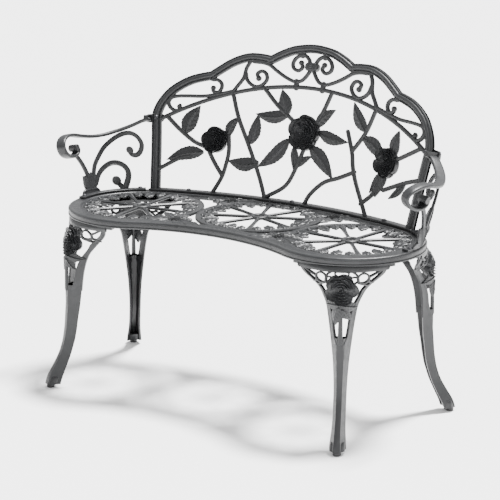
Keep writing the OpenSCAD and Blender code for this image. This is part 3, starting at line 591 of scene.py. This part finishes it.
parts += [leafBlade(p[:2], p[2:4], p[4], legPoint, 5.0, 0.04, 1.0) for p in knee["leaves"]]
parts.append(roseHead(knee["rose"][:2], knee["rose"][2], legPoint, knee["roseHeight"], 5, 0.5))
a = np.radians(np.linspace(90 - 41, 90 + 41, 50))[:, None]
pad = np.array([[136, 407.9], [174, 407.9], [174, 413.9], [136, 413.9]])
parts.append(shell(np.stack([pad[:, 0] * np.cos(a), pad[:, 0] * np.sin(a), pad[:, 1] + 0 * a], -1)))
# foot: solid block round the glide's hole; its outline blends into the shaft's
q = np.radians(np.arange(64) * 5.625)[None, :]
zf = np.array([9.6, 12, 16, 20, 24, 27])[:, None]
grow = np.array([0.9, 0.9, 0.9, 0.9, 0.9, 0.85])[:, None]
sx = lookup(leg["half"], zf)
front, rearY = lookup(leg["ridge"], zf), lookup(leg["ridge"], zf) - lookup(leg["depth"], zf)
cy, ry = (front + rearY) / 2, (front - rearY) / 2
cs = np.sign(np.cos(q)) * np.abs(np.cos(q)) ** 0.75
sn = np.sign(np.sin(q)) * np.abs(np.sin(q)) ** 0.75
wide = sx * (1 - 0.45 * np.clip(sn, 0, 1) ** 1.5)
outerFoot = np.stack([wide * cs * grow, cy + ry * sn * grow, zf + 0 * q], -1)
holeX, holeY = knee["holeRadius"] * np.cos(q), leg["foot"] + knee["holeRadius"] * np.sin(q)
hole = np.stack([holeX + 0 * zf, holeY + 0 * zf, zf[::-1] + 0 * q], -1)
parts.append(shell(np.concatenate([outerFoot, hole]), True))


def placed(parts, side, degrees):
    # turned about the middle of the seat's end
    a = math.radians(side * degrees + 180)
    m = np.array([[math.cos(a), -math.sin(a), 0], [math.sin(a), math.cos(a), 0], [0, 0, 1]])
    return [(p @ m.T + np.array([side * lobe[0], lobe[1], 0]), q, t) for p, q, t in parts]


for end, degrees in (("front", leg["front"]), ("back", leg["back"])):
    for word, sign in (("left", -1), ("right", 1)):
        place = end + "_" + word
        makePiece("cabriole_" + place, placed(parts, sign, degrees), "leg_" + place)


# finishes
def nodeMaterial(name, color, rough, metal, coatScale, bumpScale, bumpDepth, spec=0.5):
    # colour and roughness drift with two noises, and a fine third one gives the grain
    mat = bpy.data.materials.new(name)
    mat.use_nodes = True
    nodes, links = mat.node_tree.nodes, mat.node_tree.links
    shader = nodes["Principled BSDF"]
    place = nodes.new("ShaderNodeTexCoord")

    def noise(scale, detail):
        n = nodes.new("ShaderNodeTexNoise")
        n.inputs["Scale"].default_value = scale
        n.inputs["Detail"].default_value = detail
        links.new(place.outputs["Object"], n.inputs["Vector"])
        return n.outputs["Fac"]

    def ranged(value, low, high, a, b):
        m = nodes.new("ShaderNodeMapRange")
        m.inputs["From Min"].default_value, m.inputs["From Max"].default_value = low, high
        m.inputs["To Min"].default_value, m.inputs["To Max"].default_value = a, b
        links.new(value, m.inputs["Value"])
        return m.outputs["Result"]

    broad, fine, grain = noise(coatScale, 4.0), noise(coatScale * 9, 5.0), noise(bumpScale, 3.0)
    tint = nodes.new("ShaderNodeMix")
    tint.data_type = "RGBA"
    links.new(ranged(broad, 0.35, 0.65, 0, 1), tint.inputs["Factor"])
    tint.inputs["A"].default_value = (*color, 1)
    tint.inputs["B"].default_value = (*(min(1, c * 1.35 + 0.002) for c in color), 1)
    links.new(tint.outputs["Result"], shader.inputs["Base Color"])
    links.new(ranged(fine, 0.3, 0.7, rough - 0.06, rough + 0.07), shader.inputs["Roughness"])
    shader.inputs["Metallic"].default_value = metal
    shader.inputs["Specular IOR Level"].default_value = spec
    bump = nodes.new("ShaderNodeBump")
    bump.inputs["Strength"].default_value = 0.55
    bump.inputs["Distance"].default_value = bumpDepth
    links.new(grain, bump.inputs["Height"])
    links.new(bump.outputs["Normal"], shader.inputs["Normal"])
    return mat


finishes = {
    "casting": nodeMaterial("powder coat", (0.011, 0.0115, 0.0125), 0.38, 0.0, 9.0, 900.0, 0.0004, 0.4),
    "fasteners": nodeMaterial("black zinc steel", (0.035, 0.035, 0.038), 0.36, 0.7, 40.0, 1500.0, 0.0002),
    "glide_pad": nodeMaterial("black nylon", (0.012, 0.012, 0.013), 0.55, 0.0, 60.0, 1800.0, 0.0002),
    "glide_screw": nodeMaterial("zinc plated steel", (0.42, 0.42, 0.44), 0.33, 1.0, 80.0, 2200.0, 0.0001),
}
slotOf = {row["node"]: row["material_slot"] for row in frame["record"]["subparts"]}
for name, obj in frame["nodes"].items():
    obj.data.materials.clear()
    obj.data.materials.append(finishes[slotOf[name]])
for obj in bpy.context.scene.objects:
    if obj.type == "MESH" and obj.name not in frame["nodes"]:
        obj.data.materials.append(finishes["casting"])
print("finishes are on")


# floor, light, camera
def plainMaterial(name, color, rough):
    mat = bpy.data.materials.new(name)
    mat.use_nodes = True
    mat.node_tree.nodes["Principled BSDF"].inputs["Base Color"].default_value = (*color, 1)
    mat.node_tree.nodes["Principled BSDF"].inputs["Roughness"].default_value = rough
    return mat


bpy.ops.mesh.primitive_plane_add(size=60, location=(0, 0, 0))
floor = bpy.context.object
floor.name = "floor"
floor.data.materials.append(plainMaterial("pale floor", (0.9, 0.9, 0.9), 0.9))


def softBox(name, spot, aim, size, power):
    # round area light, turned to look from its spot to its aim
    light = bpy.data.lights.new(name, "AREA")
    light.shape, light.size, light.energy = "DISK", size, power
    obj = bpy.data.objects.new(name, light)
    bpy.context.scene.collection.objects.link(obj)
    obj.location = spot
    look = np.array(aim, float) - np.array(spot, float)
    flat = math.hypot(look[0], look[1])
    obj.rotation_euler = (math.atan2(flat, -look[2]), 0, math.atan2(-look[0], look[1]))


studio = {"sky": 1.0, "sun": 14.0, "sunAngle": 11.0, "sunFrom": (0.10, 0.34, 1.0), "fill": 45.0, "side": 10.0}
sunData = bpy.data.lights.new("overhead", "SUN")
sunData.energy, sunData.angle = studio["sun"], math.radians(studio["sunAngle"])
sun = bpy.data.objects.new("overhead", sunData)
bpy.context.scene.collection.objects.link(sun)
sx, sy, sz = studio["sunFrom"]
sun.rotation_euler = (math.atan2(math.hypot(sx, sy), sz), 0, math.atan2(sx, -sy))
softBox("fill", (2.8, -3.0, 2.4), (0, 0, 0.4), 2.2, studio["fill"])
softBox("side", (-3.2, -1.0, 1.8), (0, 0, 0.4), 1.6, studio["side"])
world = bpy.data.worlds.new("studio")
world.use_nodes = True
world.node_tree.nodes["Background"].inputs["Color"].default_value = (1, 1, 1, 1)
world.node_tree.nodes["Background"].inputs["Strength"].default_value = studio["sky"]
bpy.context.scene.world = world

view = {"azimuth": 34.584, "elevation": 14.560, "spot": (2.43189, -3.53705, 1.46636), "lens": 132.25}
camData = bpy.data.cameras.new("camera")
camData.lens, camData.sensor_width = view["lens"], 36
camera = bpy.data.objects.new("camera", camData)
bpy.context.scene.collection.objects.link(camera)
camera.location = view["spot"]
camera.rotation_euler = (math.radians(90 - view["elevation"]), 0, math.radians(view["azimuth"]))
bpy.context.scene.camera = camera
